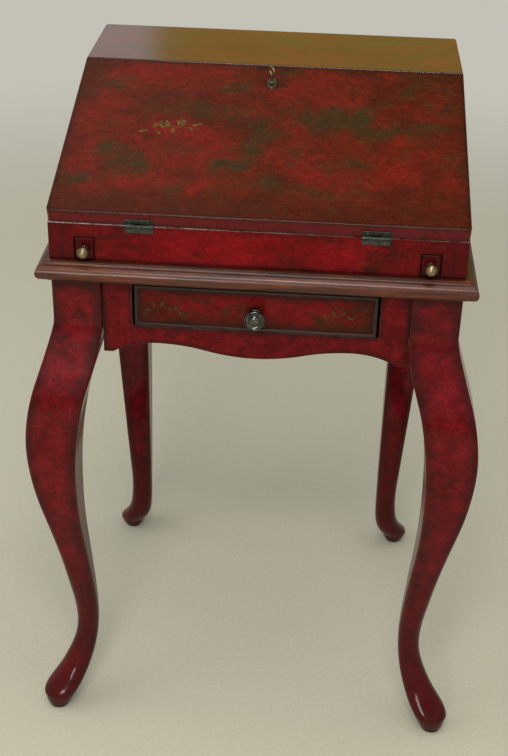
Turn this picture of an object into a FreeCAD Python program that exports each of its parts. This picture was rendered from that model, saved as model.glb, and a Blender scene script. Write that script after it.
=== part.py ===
import FreeCAD, Part
import math
import os
import re
import Sketcher

# A small slope-front writing desk: a stand on cabriole legs with one drawer, and above it a case whose
# sloping fall folds down onto two pull-out lopers. Millimetres, +Z up, the floor at zero, +Y to the back.

# Driving sizes: millimetres, and degrees where the name says slope or turn.
SIZES = {
    # case
    "case_width": 495.0,
    "case_depth": 444.0,
    "top_depth": 156.0,
    "top_thickness": 18.0,
    "side_thickness": 16.0,
    "back_thickness": 12.0,
    "bed_thickness": 12.0,
    "rail_height": 48.0,
    "rail_thickness": 20.0,
    "edge_rounding": 1.5,
    "corner_rounding": 5.0,
    # fall
    "fall_slope": 17.0,
    "fall_thickness": 18.0,
    "joint_gap": 0.5,
    "top_gap": 1.0,
    # stand
    "leg_height": 676.0,
    "leg_block": 60.0,
    "leg_straight": 53.0,
    "toe_reach": 41.5,
    "stand_setback": 8.0,
    "apron_height": 100.0,
    "apron_thickness": 20.0,
    "apron_setback": 7.0,
    "apron_arch": 15.0,
    "moulding_height": 27.4,
    "moulding_overhang": 16.0,
    "moulding_width": 36.0,
    "glue_block": 15.0,
    "glue_block_length": 60.0,
    # lopers
    "loper_slot": 25.0,
    "loper_inset": 30.0,
    "loper_length": 300.0,
    "loper_chamfer": 2.0,
    "guide_thickness": 12.0,
    "slide_gap": 0.4,
    "lift_gap": 0.3,
    "loper_ball": 15.0,
    "loper_ball_stand": 11.0,
    "loper_neck": 5.6,
    "loper_collar": 9.0,
    "loper_collar_thickness": 1.5,
    # hinges
    "hinge_inset": 108.5,
    "hinge_length": 33.0,
    "hinge_leaf": 9.0,
    "leaf_thickness": 1.2,
    "barrel_diameter": 4.6,
    "barrel_gap": 0.3,
    "knuckle_gap": 0.3,
    "pin_diameter": 2.2,
    "pin_gap": 0.05,
    # lock and key
    "keyhole_drop": 40.0,
    "lock_width": 44.0,
    "lock_thickness": 11.0,
    "lock_wall": 2.0,
    "lock_gap": 0.3,
    "bolt_width": 12.0,
    "bolt_thickness": 4.0,
    "bolt_setback": 1.2,
    "bolt_throw": 6.0,
    "bit_reach": 6.5,
    "bit_thickness": 2.0,
    "shank_diameter": 4.0,
    "key_reach": 26.0,
    "key_turn": 40.0,
    "key_collar": 7.0,
    "key_collar_thickness": 2.5,
    "bow_diameter": 13.0,
    "bow_wire": 2.8,
    "escutcheon_width": 11.5,
    "escutcheon_height": 24.0,
    "escutcheon_thickness": 1.2,
    "strike_width": 40.0,
    "strike_thickness": 1.5,
    "strike_margin": 2.0,
    # main drawer
    "drawer_margin": 36.5,
    "drawer_height": 62.0,
    "drawer_gap": 3.0,
    "drawer_head": 6.0,
    "drawer_tail": 32.0,
    "drawer_front_thickness": 18.0,
    "drawer_side_thickness": 10.0,
    "drawer_side_drop": 8.0,
    "drawer_bottom_thickness": 6.0,
    "drawer_bottom_rise": 4.0,
    "bead_width": 5.0,
    "bead_depth": 5.0,
    "bead_proud": 1.0,
    "runner_width": 14.0,
    "runner_height": 14.0,
    "runner_guide": 18.0,
    "knob_diameter": 26.0,
    "knob_reach": 22.0,
    "knob_drop": 2.5,
    # nest of the case
    "nest_depth": 130.0,
    "divider_thickness": 8.0,
    "pigeonhole_width": 143.5,
    "small_height": 40.0,
    "small_gap": 0.8,
    "small_tail": 8.0,
    "small_front_thickness": 10.0,
    "small_side_thickness": 6.0,
    "small_side_drop": 3.0,
    "small_bottom_thickness": 4.0,
    "small_bottom_rise": 2.0,
    "small_ball": 10.0,
    "small_ball_stand": 7.5,
    "small_neck": 4.4,
    "small_collar": 7.0,
    "small_collar_thickness": 1.2,
    # one overrun for every cut
    "overrun": 2.0,
}

# Sizes and places worked out from the driving ones.
PLACES = {
    "half_width": "case_width / 2",
    "inner_half": "half_width - side_thickness",
    "front": "-(case_depth - toe_reach) / 2",
    "back": "front + case_depth",
    "stand_back": "back - stand_setback",
    "moulding_top": "leg_height + moulding_height",
    "rail_top": "moulding_top + rail_height",
    "bed_foot": "rail_top - bed_thickness",
    "fall_foot": "rail_top + joint_gap",
    "case_top": "fall_foot + fall_thickness / cos(fall_slope) + (case_depth - top_depth) * tan(fall_slope)",
    "top_foot": "case_top - top_thickness",
    "fall_length": "(case_depth - top_depth) / cos(fall_slope) + fall_thickness * tan(fall_slope) - top_gap",
    "apron_front": "front + apron_setback",
    "apron_foot": "leg_height - apron_height",
    "block_half": "half_width - leg_block",
    "back_apron_front": "stand_back - apron_setback - apron_thickness",
    "core_half": "half_width + moulding_overhang - moulding_width",
    "core_front": "front - moulding_overhang + moulding_width",
    "drawer_opening": "2 * (block_half - drawer_margin)",
    "drawer_length": "back_apron_front - drawer_tail - apron_front",
    "opening_foot": "leg_height - drawer_height",
    "loper_top": "fall_foot - fall_thickness - lift_gap",
    "slot_outer": "half_width - loper_inset",
    "slot_inner": "slot_outer - loper_slot",
    "slot_middle": "(slot_outer + slot_inner) / 2",
    "hinge_offset": "half_width - hinge_inset",
    "pin_offset": "barrel_diameter / 2 + barrel_gap",
    "pin_height": "fall_foot - pin_offset * tan(fall_slope / 2)",
    "pin_rise": "pin_offset * tan(fall_slope / 2)",
    "key_axis": "fall_length - keyhole_drop",
    "lock_height": "keyhole_drop + bit_reach + lock_gap + lock_wall",
    "bolt_length": "keyhole_drop - bolt_setback - bit_reach - 3 * lock_gap",
    "bolt_rise": "(lock_thickness - bolt_thickness) / 2",
    "strike_foot": "fall_length + top_gap",
    "nest_front": "back - back_thickness - nest_depth",
    "shelf_foot": "rail_top + small_height",
    "small_opening": "2 * (inner_half - pigeonhole_width - divider_thickness)",
    "small_length": "nest_depth - small_tail",
}

X_AXIS = FreeCAD.Vector(1, 0, 0)
Y_AXIS = FreeCAD.Vector(0, 1, 0)
Z_AXIS = FreeCAD.Vector(0, 0, 1)

# Leg outlines, foot to block: height as a share of the leg's height, outward reach as a share of the toe's
# reach or the block, inward reach as a share of the block, and corner rounding as a share of the half width.
FRONT_FOOT_SHARES = [
    (0.0, 0.84, -0.12, 0.95),
    (0.018, 0.94, -0.02, 0.95),
    (0.0355, 1.0, 0.085, 0.95),
]
FRONT_SHAFT_SHARES = [
    (0.0355, 1.0, 0.085, 0.95),
    (0.0535, 0.838, 0.205, 0.95),
    (0.078, 0.525, 0.333, 0.95),
    (0.110, 0.225, 0.45, 0.95),
    (0.152, -0.03, 0.54, 0.95),
    (0.2145, -0.094, 0.578, 0.9),
    (0.29, 0.04, 0.54, 0.7),
    (0.37, 0.225, 0.472, 0.48),
    (0.46, 0.48, 0.395, 0.28),
    (0.55, 0.75, 0.375, 0.17),
    (0.62, 0.885, 0.395, 0.14),
    (0.673, 0.918, 0.442, 0.13),
    (0.725, 0.848, 0.523, 0.12),
    (0.777, 0.675, 0.645, 0.11),
    (0.828, 0.405, 0.825, 0.1),
    (0.873, 0.172, 0.949, 0.1),
    (0.889, 0.094, 0.975, 0.1),
    (0.9022, 0.038, 0.991, 0.1),
    (0.9143, 0.006, 0.9985, 0.1),
    (0.9216, 0.0, 1.0, 0.1),
]
BACK_FOOT_SHARES = [
    (0.0, -0.185, 0.60, 0.95),
    (0.0125, -0.105, 0.675, 0.95),
    (0.0245, -0.055, 0.73, 0.95),
]
BACK_SHAFT_SHARES = [
    (0.0245, -0.055, 0.73, 0.95),
    (0.046, -0.19, 0.865, 0.95),
    (0.074, -0.35, 0.95, 0.95),
    (0.113, -0.435, 0.985, 0.9),
    (0.163, -0.458, 0.995, 0.8),
    (0.22, -0.43, 1.0, 0.6),
    (0.29, -0.385, 1.0, 0.4),
    (0.37, -0.333, 1.0, 0.25),
    (0.46, -0.27, 1.0, 0.18),
    (0.55, -0.208, 1.0, 0.14),
    (0.64, -0.15, 1.0, 0.12),
    (0.73, -0.098, 1.0, 0.1),
    (0.83, -0.045, 1.0, 0.1),
    (0.9216, 0.0, 1.0, 0.1),
]

# Half of an apron's lower edge, end to middle: place along it as a share of the half length, and rise as a
# share of the arch. The points between corners are passed by arcs.
EAR_SHARE = 0.94
APRON_ARC_SHARES = [
    ((0.80, 0.727), (0.64, 1.0)),
    ((0.48, 0.877), (0.32, 0.5)),
]

# Edge moulding: outward place as a share of the overhang, drop as a share of the height.
LEDGE_SHARE = 0.41
STEP_SHARE = 0.07
COVE_SHARES = (0.45, 0.13)
NOSE_START_SHARES = (0.60, 0.165)
NOSE_SHARES = (1.0, 0.455)
FRIEZE_SHARES = (0.2, 0.86)

# Turned drawer knob: radius as a share of the knob's radius, reach as a share of the knob's reach.
KNOB_SHARES = [
    ((0.5, 0.0),),
    ((0.5, 0.1),),
    ((0.34, 0.18), (0.32, 0.36)),
    ((0.48, 0.58), (0.88, 0.68)),
    ((1.0, 0.79), (0.90, 0.92)),
    ((0.74, 0.83), (0.58, 0.82)),
    ((0.42, 0.95), (0.1, 1.0)),
    ((0.0, 1.0),),
]

doc = FreeCAD.newDocument("escritoire")
pieces = []


def bound(formula):
    """The formula with each named size or place written as its cell."""
    def cell(match):
        name = match.group()
        if name in SIZES:
            return "Sizes." + name
        if name in PLACES:
            return "Places." + name
        return name
    return re.sub(r"[a-z_]+", cell, formula)


def make_sheets():
    """One sheet of driving numbers and one of formulas that follow from them."""
    sizes = doc.addObject("Spreadsheet::Sheet", "Sizes")
    for row, (name, value) in enumerate(SIZES.items(), start=1):
        sizes.set(f"A{row}", name)
        sizes.set(f"B{row}", str(value))
        sizes.setAlias(f"B{row}", name)
    doc.recompute()
    places = doc.addObject("Spreadsheet::Sheet", "Places")
    for row, (name, formula) in enumerate(PLACES.items(), start=1):
        places.set(f"A{row}", name)
        places.set(f"B{row}", "=" + bound(formula).replace("Places.", ""))
        places.setAlias(f"B{row}", name)
        places.recompute()
    doc.recompute()
    return {**{name: float(sizes.get(name)) for name in SIZES},
            **{name: float(places.get(name)) for name in PLACES}}


number = make_sheets()


def keep(piece):
    """Marks an object as a finished piece of the desk."""
    pieces.append(piece)
    return piece


def keep_pair(left):
    """Keeps a left-hand piece and its mirror image on the right."""
    keep(left)
    right = doc.addObject("Part::Mirroring", left.Label.replace("left", "right"))
    right.Source = left
    right.Normal = X_AXIS
    return keep(right)


def set_place(thing, x, y, z):
    for axis, formula in zip("xyz", (x, y, z)):
        thing.setExpression(".Placement.Base." + axis, bound(formula))


def board(label, x, y, z):
    """A squared board from its low and high limits along X, Y and Z."""
    box = doc.addObject("Part::Box", label)
    for side, (low, high) in zip(("Length", "Width", "Height"), (x, y, z)):
        box.setExpression(side, bound(f"({high}) - ({low})"))
    set_place(box, x[0], y[0], z[0])
    return box


def on_fall(thing, x, along, out):
    """Places a thing in the fall's own frame: across, up the slope from its foot, out from its inner face."""
    thing.Placement = FreeCAD.Placement(FreeCAD.Vector(), FreeCAD.Rotation(X_AXIS, number["fall_slope"]))
    thing.setExpression(".Placement.Rotation.Angle", bound("fall_slope"))
    set_place(thing, x,
              f"front + ({along}) * cos(fall_slope) - ({out}) * sin(fall_slope)",
              f"fall_foot + ({along}) * sin(fall_slope) + ({out}) * cos(fall_slope)")


def fall_block(label, x, along, out):
    """A squared block in the fall's own frame."""
    box = doc.addObject("Part::Box", label)
    for side, (low, high) in zip(("Length", "Width", "Height"), (x, along, out)):
        box.setExpression(side, bound(f"({high}) - ({low})"))
    on_fall(box, x[0], along[0], out[0])
    return box


def cylinder(label, radius, height):
    rod = doc.addObject("Part::Cylinder", label)
    rod.setExpression("Radius", bound(radius))
    rod.setExpression("Height", bound(height))
    return rod


def rod_across(label, x, y, z, radius):
    """A round rod along X between two limits."""
    rod = cylinder(label, radius, f"({x[1]}) - ({x[0]})")
    rod.Placement.Rotation = FreeCAD.Rotation(Y_AXIS, 90)
    set_place(rod, x[0], y, z)
    return rod


def cut(label, base, tools):
    for count, tool in enumerate(tools, start=1):
        result = doc.addObject("Part::Cut", label if count == len(tools) else f"{label}_cut_{count}")
        result.Base = base
        result.Tool = tool
        base = result
    return base


def fuse(label, things):
    result = doc.addObject("Part::MultiFuse", label)
    result.Shapes = things
    return result


def draw(body, role, outline):
    """A closed sketch on one of the body's planes. A pair of formulas ends a straight line and two pairs
    give an arc's middle and end; every point is held by its two distances from the origin."""
    sketch = body.newObject("Sketcher::SketchObject", body.Label + "_sketch")
    plane = next(feature for feature in body.Origin.OriginFeatures if feature.Role == role)
    sketch.AttachmentSupport = (plane, [""])
    sketch.MapMode = "FlatFace"
    spots = []
    for corner in outline:
        row = []
        for spot in corner:
            index = sketch.addGeometry(Part.Point(FreeCAD.Vector()), True)
            for kind, formula in zip(("DistanceX", "DistanceY"), spot):
                held = sketch.addConstraint(Sketcher.Constraint(kind, -1, 1, index, 1, 0))
                sketch.setExpression(f"Constraints[{held}]", bound(formula))
            row.append(index)
        spots.append(row)
    sketch.recompute()
    for before, row in zip([spots[-1]] + spots[:-1], spots):
        ends = (before[-1], row[-1])
        start, stop = (sketch.getPoint(index, 1) for index in ends)
        if len(row) == 1:
            edge = sketch.addGeometry(Part.LineSegment(start, stop))
        else:
            edge = sketch.addGeometry(Part.Arc(start, sketch.getPoint(row[0], 1), stop))
            sketch.addConstraint(Sketcher.Constraint("PointOnObject", row[0], 1, edge))
        from_start, to_start = (sketch.getPoint(edge, end).distanceToPoint(start) for end in (1, 2))
        for index, end in zip(ends, (1, 2) if from_start < to_start else (2, 1)):
            sketch.addConstraint(Sketcher.Constraint("Coincident", edge, end, index, 1))
    return sketch


def padded(label, role, outline, length, both_ways=False, to_back=False):
    """A sketch padded to a length: along its plane's normal, both ways, or towards the back."""
    body = doc.addObject("PartDesign::Body", label)
    pad = body.newObject("PartDesign::Pad", label + "_pad")
    pad.Profile = draw(body, role, outline)
    pad.setExpression("Length", bound(length))
    pad.Midplane = both_ways
    pad.Reversed = to_back
    body.Tip = pad
    return body


def eased(body, feature, amount, element, key, count=1):
    """Rounds or chamfers the faces or edges of a padded body whose centres have the lowest keys."""
    doc.recompute()
    tip = body.Tip
    choices = tip.Shape.Faces if element == "Face" else tip.Shape.Edges
    ranked = sorted(range(len(choices)), key=lambda index: key(choices[index].CenterOfMass))
    easing = body.newObject("PartDesign::" + feature, body.Label + "_easing")
    easing.Base = (tip, [f"{element}{index + 1}" for index in ranked[:count]])
    easing.setExpression("Radius" if feature == "Fillet" else "Size", bound(amount))
    body.Tip = easing
    return body


def front_arris(centre):
    """Puts the highest of the foremost edges first."""
    return round(centre.y), -centre.z


def near_corners(centre):
    """Puts the two corner edges at the lowest Y first."""
    return round(centre.y), -abs(centre.x)


def far_corners(centre):
    """Puts the two corner edges at the highest Y first."""
    return -round(centre.y), -abs(centre.x)


def turned(label, outline):
    """A profile of radius and reach turned about an axis that points to the front."""
    body = doc.addObject("PartDesign::Body", label)
    sketch = draw(body, "XY_Plane", outline)
    revolution = body.newObject("PartDesign::Revolution", label + "_turning")
    revolution.Profile = sketch
    revolution.ReferenceAxis = (sketch, ["V_Axis"])
    revolution.Angle = 360
    body.Tip = revolution
    return body


def lines(*spots):
    return [(spot,) for spot in spots]


def leg_section(shares, outer_scale, direction):
    """One rounded-square section of a left-hand leg, as a wire."""
    height_share, outer_share, inner_share, corner_share = shares
    outer = outer_share * outer_scale
    inner = inner_share * number["leg_block"]
    middle = (outer - inner) / 2
    half = (outer + inner) / 2
    corner = corner_share * half
    end = number["front"] if direction < 0 else number["stand_back"]
    height = height_share * number["leg_height"]
    points = []
    for quarter in range(4):
        diagonal = math.radians(90 * quarter + 45)
        centre_x = middle + math.copysign(half - corner, math.cos(diagonal))
        centre_y = middle + math.copysign(half - corner, math.sin(diagonal))
        for turn in (-45, 0, 45):
            angle = diagonal + math.radians(turn)
            out_x = centre_x + corner * math.cos(angle)
            out_y = centre_y + corner * math.sin(angle)
            points.append(FreeCAD.Vector(-number["half_width"] - out_x, end + direction * out_y, height))
    if direction > 0:
        points.reverse()
    edges = []
    for quarter in range(4):
        first, middle_point, last = points[3 * quarter:3 * quarter + 3]
        edges.append(Part.Arc(first, middle_point, last).toShape())
        edges.append(Part.LineSegment(last, points[(3 * quarter + 3) % len(points)]).toShape())
    return Part.Wire(edges)


def leg(label, foot_shares, shaft_shares, outer_scale, direction):
    """A leg sawn to the same bow on two faces: an undercut foot, a swelling shaft and a square block."""
    block_foot_share = 1 - number["leg_straight"] / number["leg_height"]
    stretch = block_foot_share / shaft_shares[-1][0]
    foot, shaft = ([leg_section((shares[0] * stretch,) + shares[1:], outer_scale, direction) for shares in rows]
                   for rows in (foot_shares, shaft_shares))
    block_shares = shaft_shares[-1][1:]
    block = [leg_section((share,) + block_shares, outer_scale, direction) for share in (block_foot_share, 1)]
    shaft[-1] = block[0]
    solid = Part.makeLoft(shaft, True, False)
    for part in (Part.makeLoft(foot, True, True), Part.makeLoft(block, True, True)):
        solid = solid.fuse(part)
    piece = doc.addObject("Part::Feature", label)
    piece.Shape = solid.removeSplitter()
    return piece


def arched_edge(half, foot, rise):
    """The lower edge of an apron from its low end to its high end: ear, arch, drop, arch, ear."""
    rising = []
    for arc in APRON_ARC_SHARES:
        rising.append([(f"-{along} * ({half})", f"{foot} + {share} * {rise}") for along, share in arc])
    edge = [[(f"-{EAR_SHARE} * ({half})", foot)]] + rising
    ends = [corner[-1] for corner in edge]
    drop = ("0", foot)
    mirrored = [(f"-({x})", z) for x, z in ends]
    edge.append([drop, mirrored[-1]])
    for arc, end in zip(reversed(rising), reversed(mirrored[:-1])):
        x, z = arc[0]
        edge.append([(f"-({x})", z), end])
    return edge


def make_legs():
    keep_pair(leg("front_left_leg", FRONT_FOOT_SHARES, FRONT_SHAFT_SHARES, number["toe_reach"], -1))
    keep_pair(leg("back_left_leg", BACK_FOOT_SHARES, BACK_SHAFT_SHARES, number["leg_block"], 1))


def make_aprons():
    half = "block_half"
    outline = [[(f"-{half}", "leg_height")], [(f"-{half}", "apron_foot")]]
    outline += arched_edge(half, "apron_foot", "apron_arch")
    outline += lines((half, "apron_foot"), (half, "leg_height"),
                     ("drawer_opening / 2", "leg_height"), ("drawer_opening / 2", "opening_foot"),
                     ("-drawer_opening / 2", "opening_foot"), ("-drawer_opening / 2", "leg_height"))
    front = keep(padded("front_apron", "XZ_Plane", outline, "apron_thickness", to_back=True))
    set_place(front, "0", "apron_front", "0")

    half = "((stand_back - front) / 2 - leg_block)"
    outline = [[(f"-{half}", "leg_height")], [(f"-{half}", "apron_foot")]]
    outline += arched_edge(half, "apron_foot", "apron_arch")
    outline += lines((half, "apron_foot"), (half, "leg_height"))
    side = padded("left_apron", "YZ_Plane", outline, "apron_thickness")
    set_place(side, "apron_setback - half_width", "(front + stand_back) / 2", "0")
    keep_pair(side)

    keep(board("back_apron", ("-block_half", "block_half"),
               ("back_apron_front", "back_apron_front + apron_thickness"),
               ("apron_foot", "leg_height")))


def make_runners():
    along = ("apron_front + apron_thickness", "back_apron_front")
    outer = "-drawer_opening / 2 - runner_width"
    ledge = board("left_runner_ledge", (outer, "-drawer_opening / 2 + runner_width"), along,
                  ("opening_foot - runner_height", "opening_foot"))
    guide = board("left_runner_guide", (outer, "-drawer_opening / 2"), along,
                  ("opening_foot", "opening_foot + runner_guide"))
    keep_pair(fuse("left_drawer_runner", [ledge, guide]))


def make_glue_blocks():
    blocks = []
    inner = "half_width - apron_setback - apron_thickness"
    sides = {"left": (f"-({inner})", f"glue_block - ({inner})"), "right": (f"{inner} - glue_block", inner)}
    for side, x in sides.items():
        for place, y in (("front", "front + leg_block + glue_block_length"),
                         ("back", "stand_back - leg_block - 2 * glue_block_length")):
            blocks.append(board(f"glue_block_{side}_{place}", x, (y, f"{y} + glue_block_length"),
                                ("leg_height - glue_block", "leg_height")))
    group = doc.addObject("Part::Compound", "glue_blocks")
    group.Links = blocks
    keep(group)


def moulding_outline(edge):
    """The moulding's section; edge turns an outward distance into a sketch place."""
    def spot(shares):
        return (edge(f"{shares[0]} * moulding_overhang"), f"moulding_top - {shares[1]} * moulding_height")
    inner = edge("moulding_overhang - moulding_width")
    nose_foot_shares = (NOSE_START_SHARES[0], FRIEZE_SHARES[1])
    return [[(inner, "moulding_top")], [spot((LEDGE_SHARE, 0))], [spot((LEDGE_SHARE, STEP_SHARE))],
            [spot(COVE_SHARES), spot(NOSE_START_SHARES)], [spot(NOSE_SHARES), spot(nose_foot_shares)],
            [spot(FRIEZE_SHARES)], [spot((FRIEZE_SHARES[0], 1))], [(inner, "leg_height")]]


def mitre_block(label, corner_x, turn):
    """A block that takes off one side of a mitre at a front corner."""
    block = board(label, (corner_x, f"{corner_x} + 2 * moulding_width"),
                  ("front - moulding_overhang", "front - moulding_overhang + 2 * moulding_width"),
                  ("leg_height - overrun", "moulding_top + overrun"))
    block.Placement.Rotation = FreeCAD.Rotation(Z_AXIS, turn)
    return block


def make_stand_top():
    keep(board("stand_top", ("-core_half", "core_half"), ("core_front", "back"),
               ("leg_height", "moulding_top")))
    corner = "half_width + moulding_overhang"
    strip = padded("front_moulding_strip", "YZ_Plane", moulding_outline(lambda out: f"front - ({out})"),
                   "case_width + 2 * moulding_overhang", both_ways=True)
    keep(cut("front_moulding", strip, [mitre_block("front_mitre_left", f"-({corner})", 45),
                                       mitre_block("front_mitre_right", corner, 45)]))
    strip = padded("left_moulding_strip", "XZ_Plane", moulding_outline(lambda out: f"-half_width - ({out})"),
                   "case_depth + moulding_overhang", to_back=True)
    set_place(strip, "0", "front - moulding_overhang", "0")
    keep_pair(cut("left_moulding", strip, [mitre_block("side_mitre", f"-({corner})", -45)]))


def make_case():
    slope_end = "front + (top_foot - rail_top) / tan(fall_slope)"
    side = padded("left_case_side", "YZ_Plane",
                  lines(("front", "moulding_top"), ("back", "moulding_top"), ("back", "top_foot"),
                        (slope_end, "top_foot"), ("front", "rail_top")), "side_thickness")
    eased(side, "Fillet", "edge_rounding", "Edge", front_arris)
    set_place(side, "-half_width", "0", "0")
    keep_pair(side)
    keep(board("case_back", ("-inner_half", "inner_half"), ("back - back_thickness", "back"),
               ("moulding_top", "top_foot")))
    keep(board("writing_bed", ("-inner_half", "inner_half"),
               ("front + rail_thickness", "back - back_thickness"), ("bed_foot", "rail_top")))
    rail = padded("front_rail_blank", "YZ_Plane",
                  lines(("front", "moulding_top"), ("front + rail_thickness", "moulding_top"),
                        ("front + rail_thickness", "rail_top"), ("front", "rail_top")),
                  "2 * inner_half", both_ways=True)
    eased(rail, "Fillet", "edge_rounding", "Edge", front_arris)
    slots = []
    for side, x in (("left", ("-slot_outer", "-slot_inner")), ("right", ("slot_inner", "slot_outer"))):
        slots.append(board(f"{side}_loper_slot", x, ("front - overrun", "front + rail_thickness + overrun"),
                           ("moulding_top - overrun", "loper_top + slide_gap")))
    keep(cut("front_rail", rail, slots))


def make_top_board():
    bevel_top = "front + case_depth - top_depth"
    blank = padded("top_board_blank", "YZ_Plane",
                   lines((f"{bevel_top} + top_thickness * tan(fall_slope)", "top_foot"), ("back", "top_foot"),
                         ("back", "case_top"), (bevel_top, "case_top")), "case_width", both_ways=True)
    eased(blank, "Fillet", "corner_rounding", "Edge", far_corners, 2)
    eased(blank, "Fillet", "edge_rounding", "Face", lambda centre: -centre.z)
    slot_x = ("-bolt_width / 2 - lock_gap", "bolt_width / 2 + lock_gap")
    slot_out = ("bolt_rise - lock_gap", "bolt_rise + bolt_thickness + lock_gap")
    plate_x = ("-strike_width / 2", "strike_width / 2")
    plate_out = ("bolt_rise - strike_margin", "bolt_rise + bolt_thickness + strike_margin")
    recess = fall_block("strike_recess", plate_x,
                        ("strike_foot - overrun", "strike_foot + strike_thickness"), plate_out)
    mortise = fall_block("strike_mortise", slot_x,
                         ("strike_foot", "strike_foot + bolt_throw + lock_gap"), slot_out)
    keep(cut("top_board", blank, [recess, mortise]))
    plate = fall_block("strike_blank", plate_x, ("strike_foot", "strike_foot + strike_thickness"), plate_out)
    slot = fall_block("strike_slot", slot_x,
                      ("strike_foot - overrun", "strike_foot + strike_thickness + overrun"), slot_out)
    keep(cut("strike_plate", plate, [slot]))


def ball_knob(label, name):
    """A ball on a short neck and a thin collar, pointing to the front."""
    radius = f"{name}_ball / 2"
    neck = f"{name}_neck / 2"
    stand = f"{name}_ball_stand"
    neck_end = f"-({stand} - sqrt(({radius}) ^ 2 - ({neck}) ^ 2))"
    return turned(label, [[("0", "0")], [(f"{name}_collar / 2", "0")],
                          [(f"{name}_collar / 2", f"-{name}_collar_thickness")],
                          [(neck, f"-{name}_collar_thickness")], [(neck, neck_end)],
                          [(radius, f"-{stand}"), ("0", f"-({stand} + {radius})")]])


def make_lopers():
    guide_y = ("front + rail_thickness", "back - back_thickness")
    guide_z = ("moulding_top", "bed_foot")
    keep_pair(board("left_outer_guide", ("-inner_half", "-slot_outer"), guide_y, guide_z))
    keep_pair(board("left_inner_guide", ("-slot_inner", "-slot_inner + guide_thickness"), guide_y, guide_z))
    low, high = "-slot_outer + slide_gap", "-slot_inner - slide_gap"
    foot = "moulding_top + lift_gap"
    loper = padded("left_loper", "XZ_Plane",
                   lines((low, foot), (high, foot), (high, "loper_top"), (low, "loper_top")),
                   "loper_length", to_back=True)
    eased(loper, "Chamfer", "loper_chamfer", "Face", lambda centre: centre.y)
    set_place(loper, "0", "front", "0")
    keep_pair(loper)
    knob = ball_knob("left_loper_knob", "loper")
    set_place(knob, "-slot_middle", "front", "(moulding_top + lift_gap + loper_top) / 2")
    keep_pair(knob)


def make_fall():
    centre = "0"
    blank = padded("fall_board_blank", "XY_Plane",
                   lines(("-half_width", "0"), ("half_width", "0"),
                         ("half_width", "fall_length"), ("-half_width", "fall_length")), "fall_thickness")
    eased(blank, "Fillet", "corner_rounding", "Edge", near_corners, 2)
    eased(blank, "Fillet", "edge_rounding", "Face", lambda centre: -centre.z)
    on_fall(blank, centre, "0", "0")
    lock_x = ("-lock_width / 2", "lock_width / 2")
    lock_along = ("fall_length - lock_height", "fall_length")
    mortise = fall_block("lock_mortise", lock_x,
                         (lock_along[0], "fall_length + overrun"), ("-overrun", "lock_thickness"))
    hole = cylinder("keyhole", "shank_diameter / 2 + lock_gap", "fall_thickness + 2 * overrun")
    on_fall(hole, centre, "key_axis", "-overrun")
    slot_x = ("-bit_thickness / 2 - lock_gap", "bit_thickness / 2 + lock_gap")
    slot_along = ("key_axis - bit_reach - lock_gap", "key_axis")
    slot = fall_block("keyhole_slot", slot_x, slot_along, ("-overrun", "fall_thickness + overrun"))
    keep(cut("fall_board", blank, [mortise, hole, slot]))

    case = fall_block("lock_case_blank", lock_x, lock_along, ("0", "lock_thickness"))
    chamber = cylinder("lock_chamber", "bit_reach + lock_gap", "lock_thickness")
    on_fall(chamber, centre, "key_axis", "lock_wall")
    channel = fall_block("bolt_channel", ("-bolt_width / 2 - lock_gap", "bolt_width / 2 + lock_gap"),
                         ("fall_length - bolt_setback - bolt_length - lock_gap", "fall_length + overrun"),
                         ("bolt_rise - lock_gap", "bolt_rise + bolt_thickness + lock_gap"))
    keep(cut("lock_case", case, [chamber, channel]))
    keep(fall_block("lock_bolt", ("-bolt_width / 2", "bolt_width / 2"),
                    ("fall_length - bolt_setback - bolt_length", "fall_length - bolt_setback"),
                    ("bolt_rise", "bolt_rise + bolt_thickness")))

    oval = doc.addObject("Part::Feature", "escutcheon_oval")
    scale = FreeCAD.Matrix()
    scale.scale(number["escutcheon_width"] / 2, number["escutcheon_height"] / 2,
                number["escutcheon_thickness"])
    oval.Shape = Part.makeCylinder(1, 1).transformGeometry(scale)
    on_fall(oval, centre, "key_axis", "fall_thickness")
    keep(cut("escutcheon", oval, [hole, slot]))


def make_key():
    """Shank, collar, bit and ring bow, in the key's own frame with its axis out of the fall."""
    inner_end = "lock_wall + lock_gap - fall_thickness"
    bow_middle = "key_reach - bow_diameter / 2"
    shank = cylinder("key_shank", "shank_diameter / 2",
                     f"{bow_middle} - (bow_diameter - bow_wire) / 2 - ({inner_end})")
    set_place(shank, "0", "0", inner_end)
    collar = cylinder("key_collar_ring", "key_collar / 2", "key_collar_thickness")
    set_place(collar, "0", "0", "escutcheon_thickness + lock_gap")
    bow = doc.addObject("Part::Torus", "key_bow")
    bow.setExpression("Radius1", bound("(bow_diameter - bow_wire) / 2"))
    bow.setExpression("Radius2", bound("bow_wire / 2"))
    bow.Placement.Rotation = FreeCAD.Rotation(number["key_turn"], 90, 0)
    set_place(bow, "0", "0", bow_middle)
    bit = board("key_bit", ("0", "bit_thickness"), ("0", "bit_reach"),
                (inner_end, "lock_thickness - lock_gap - fall_thickness"))
    bit.Placement.Rotation = FreeCAD.Rotation(Z_AXIS, number["key_turn"] + 180)
    set_place(bit, "bit_thickness / 2 * cos(key_turn)", "bit_thickness / 2 * sin(key_turn)", inner_end)
    key = fuse("key", [shank, collar, bow, bit])
    on_fall(key, "0", "key_axis", "fall_thickness")
    keep(key)


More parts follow.
